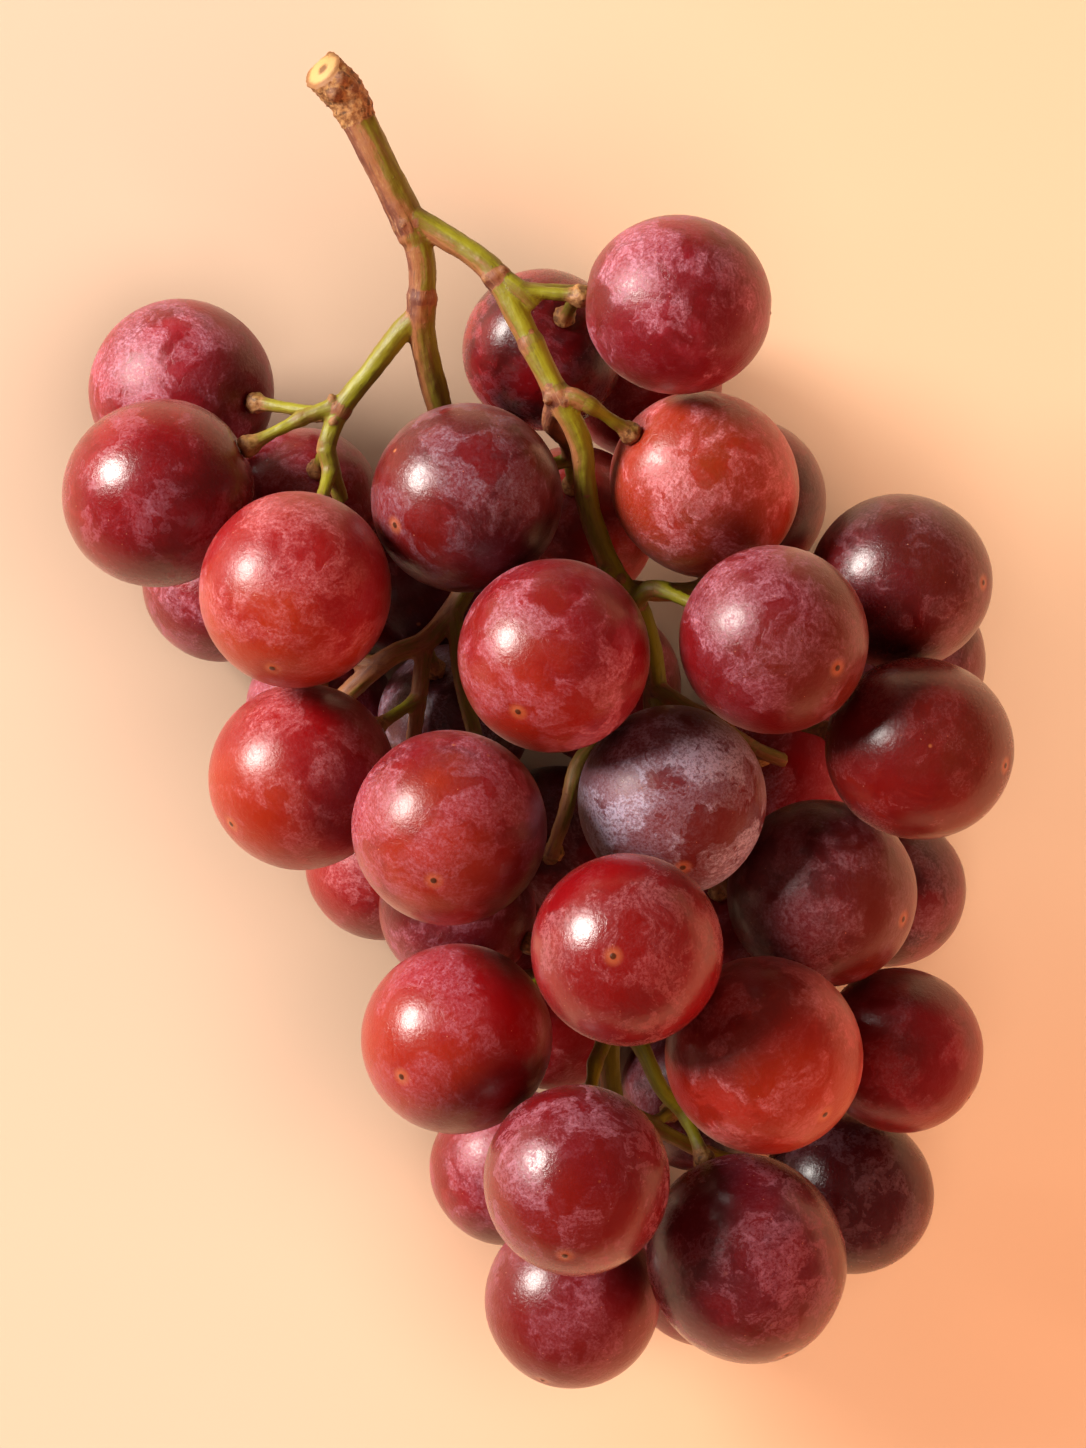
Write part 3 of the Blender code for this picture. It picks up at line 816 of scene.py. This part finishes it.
def bark():
    """Green and brown stem skin with streaks, pores and corky caps."""
    look, shader, start = new_look("stem_bark")
    place = start.node("TexCoord", output="Object")
    grain = start.node("Attribute", {"attribute_name": "grain"}, None, "Vector")
    wood, cap, sawn = (
        start.node("Attribute", {"attribute_name": layer}, None, "Fac")
        for layer in ("wood", "cap", "sawn")
    )
    streaks = grain.noise(1.6, 4.0, 0.65, 0.2)
    lines = grain.noise(4.6, 4.0, 0.72)
    mottle = place.noise(420.0, 4.0, 0.6)
    fine = place.noise(1500.0, 3.0, 0.7)
    age = wood + (streaks - 0.5) * 1.1 + (mottle - 0.5) * 0.35
    colour = age.node("ValToRGB", {"stops": BARK_AGES}, {0: age})
    colour = (lines.step(0.54, 0.66) * wood * 0.55).blend(colour, DRY_LINE)
    colour = (lines.step(0.44, 0.34) * (0.25 + 0.4 * wood)).blend(colour, DARK_LINE)
    pores = place.cells(800.0)
    pore = pores.step(0.08, 0.2, 1.0, 0.0) * mottle.step(0.5, 0.6)
    colour = (pore * 0.5).blend(colour, BARK_PORE)
    cork = fine.step(0.35, 0.65).blend(CORK_DARK, CORK_PALE)
    colour = (cap * 0.9).blend(colour, cork)
    cracks = place.noise(900.0, 2.0, 0.6).step(0.44, 0.36)
    colour = (cap * cracks * 0.8).blend(colour, CORK_CRACK)
    from_pith = place.shift(tuple(-(Vector(CUT_FACE) + STEM_SHIFT) * MM))
    from_pith = from_pith.measure() + (fine - 0.5) * 0.0006
    face = from_pith.step(0.0004, 0.0011).blend(PITH, CUT_WOOD)
    face = from_pith.step(0.0019, 0.0027).blend(face, CUT_RIND)
    colour = sawn.blend(colour, face)
    relief = lines * 0.6 + fine * 0.5 + pore * 0.4 + mottle * 0.4
    bump = start.node("Bump", None, {"Strength": 0.5, "Distance": 0.00022, "Height": relief})
    connect(shader, {
        "Base Color": colour,
        "Roughness": wood * 0.22 + fine * 0.2 + 0.34,
        "Normal": bump,
        "IOR": 1.45,
    })
    return look


def make_bunch():
    """All the grapes and the stem, each standing for its CAD node."""
    stem_points = unique_points(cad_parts["rachis"]) / MM
    names = sorted(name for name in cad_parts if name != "rachis")
    grapes = [read_grape(name, stem_points) for name in names]
    for grape in grapes:
        made = make_grape(grape)
        made.data.materials.append(grape_skin(grape))
        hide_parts(grape.name)
        "dark_skin" if grape.number in DARK_GRAPES else "red_skin"
    feet = [
        (branch, point + STEM_SHIFT)
        for branch in BRANCHES
        for point in smooth_curve(branch.points, SAMPLE_SPACING)
    ]
    routes = []
    for grape in grapes:
        branch, foot = find_foot(grape, feet)
        routes.append((grape, route_pedicel(grape, foot, grapes), branch))
    skin = bark()
    for name, half in (("stem_upper", "upper"), ("stem_lower", "lower")):
        made = make_stem(name, half, grapes, routes)
        made.data.materials.append(skin)
        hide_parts("rachis")


# ----------------------------------------------------- floor, light and camera

# The floor paper is a warmer tone to the right and round one spot, darker near
# the key lamp and paler far off, so that it reads as one pale sheet. All four are
# painted light and shade: painted warm light to the right, a painted pool of warm
# light round the spot, painted shade that evens out the key lamp's pool of light,
# and painted light that evens out the lamps' falloff far off.
FLOOR_LEFT = srgb(160, 135, 116)
# The right-hand tone is painted warm light.
FLOOR_RIGHT_PAINTED_LIGHT = srgb(162, 135, 110)
# A painted pool of warm light round one spot at the lower right, and where it is.
FLOOR_PAINTED_GLOW = srgb(160, 110, 74)
# Painted light far off, which evens out the lamps' falloff.
FLOOR_FAR_PAINTED_LIGHT = srgb(194, 162, 128)
PAINTED_GLOW_AT = (0.080, -0.085, 0.0)
# Painted shade near the key lamp, which evens out its pool of light.
FLOOR_PAINTED_SHADE_UNDER_LAMP = srgb(104, 90, 76)
UNDER_LAMP = (-0.75, 0.37, 0.0)
FLOOR_RADIUS = 5.0
FLOOR_DROP = 0.0002
BACKDROP_COLOUR = srgb(250, 204, 158)

# The lamps, aimed at a point this far above the floor, in metres and watts.
LIT_HEIGHT = 0.03
KEY_LAMP = {
    "direction": Vector((-0.79, 0.39, 0.47)),
    "distance": 1.2,
    "size": 0.50,
    "power": 35.0,
    "colour": (1.0, 0.95, 0.89),
}
FILL_LAMP = {
    "direction": Vector((0.8, -0.6, 0.45)),
    "distance": 1.4,
    "size": 0.9,
    "power": 22.0,
    "colour": (1.0, 0.45, 0.28),
    "shines": False,
}
WASH_POWER = 5.4
WASH_SOFTNESS = math.radians(50)
WASH_TILT = (math.radians(8), math.radians(10), 0.0)
WASH_COLOUR = (1.0, 0.93, 0.84)
AMBIENT = (0.165, 0.108, 0.086)

EYE = Vector((0.0012, 0.0010, 0.680))
LENS = 118.6
SENSOR_HEIGHT = 36.0


def make_floor():
    """A wide round sheet just under the bunch."""
    mesh = bmesh.new()
    bmesh.ops.create_circle(mesh, cap_ends=True, segments=96, radius=FLOOR_RADIUS)
    bmesh.ops.translate(mesh, verts=mesh.verts, vec=(0, 0, -FLOOR_DROP))
    data = bpy.data.meshes.new("floor")
    mesh.to_mesh(data)
    mesh.free()
    look, shader, start = new_look("floor_paper")
    place = start.node("TexCoord", output="Object")
    across = start.node("SeparateXYZ", None, {0: place}, 0)
    # painted warm light towards the right
    colour = across.step(-0.06, 0.06).blend(FLOOR_LEFT, FLOOR_RIGHT_PAINTED_LIGHT)
    # a painted pool of warm light round one spot
    painted_glow = place.distance(PAINTED_GLOW_AT).step(0.0, 0.11, 0.6, 0.0)
    colour = painted_glow.blend(colour, FLOOR_PAINTED_GLOW)
    # painted shade near the key lamp
    painted_shade_near_lamp = place.distance(UNDER_LAMP).step(0.1, 0.72, 1.0, 0.0)
    colour = painted_shade_near_lamp.blend(colour, FLOOR_PAINTED_SHADE_UNDER_LAMP)
    # painted light far off
    colour = place.measure().step(0.9, 2.4).blend(colour, FLOOR_FAR_PAINTED_LIGHT)
    connect(shader, {"Base Color": colour, "Roughness": 0.9, "Specular IOR Level": 0.1})
    data.materials.append(look)
    floor = bpy.data.objects.new("floor", data)
    bpy.context.scene.collection.objects.link(floor)
    return floor


def area_light(name, direction, distance, size, power, colour, shines=True):
    """A round lamp that faces the bunch, and is seen in reflections only if it shines."""
    light = bpy.data.lights.new(name, "AREA")
    light.shape = "DISK"
    light.size = size
    light.energy = power
    light.color = colour
    lamp = bpy.data.objects.new(name, light)
    lamp.visible_glossy = shines
    lamp.location = Vector((0, 0, LIT_HEIGHT)) + direction.normalized() * distance
    lamp.rotation_euler = direction.to_track_quat("Z", "Y").to_euler()
    bpy.context.scene.collection.objects.link(lamp)


def make_light(floor):
    """A soft key lamp from the upper left, a warm fill, and a wash that lights only the floor."""
    area_light("key", **KEY_LAMP)
    area_light("fill", **FILL_LAMP)
    wash = bpy.data.lights.new("floor_wash", "SUN")
    wash.energy = WASH_POWER
    wash.angle = WASH_SOFTNESS
    wash.color = WASH_COLOUR
    lamp = bpy.data.objects.new("floor_wash", wash)
    lamp.rotation_euler = WASH_TILT
    bpy.context.scene.collection.objects.link(lamp)
    washed = bpy.data.collections.new("washed")
    washed.objects.link(floor)
    lamp.light_linking.receiver_collection = washed
    world = bpy.data.worlds.new("studio")
    world.use_nodes = True
    start = Wire(world.node_tree)
    seen = start.node("LightPath", None, None, "Is Camera Ray")
    sky = world.node_tree.nodes["Background"]
    colour = seen.blend(AMBIENT, BACKDROP_COLOUR)
    world.node_tree.links.new(colour.socket, sky.inputs["Color"])
    bpy.context.scene.world = world


def make_camera():
    """A long lens straight above the bunch."""
    data = bpy.data.cameras.new("camera")
    data.sensor_fit = "VERTICAL"
    data.sensor_height = SENSOR_HEIGHT
    data.lens = LENS
    camera = bpy.data.objects.new("camera", data)
    camera.location = EYE
    bpy.context.scene.collection.objects.link(camera)
    bpy.context.scene.camera = camera


make_bunch()
make_light(make_floor())
make_camera()
bpy.context.scene.view_settings.view_transform = "Standard"
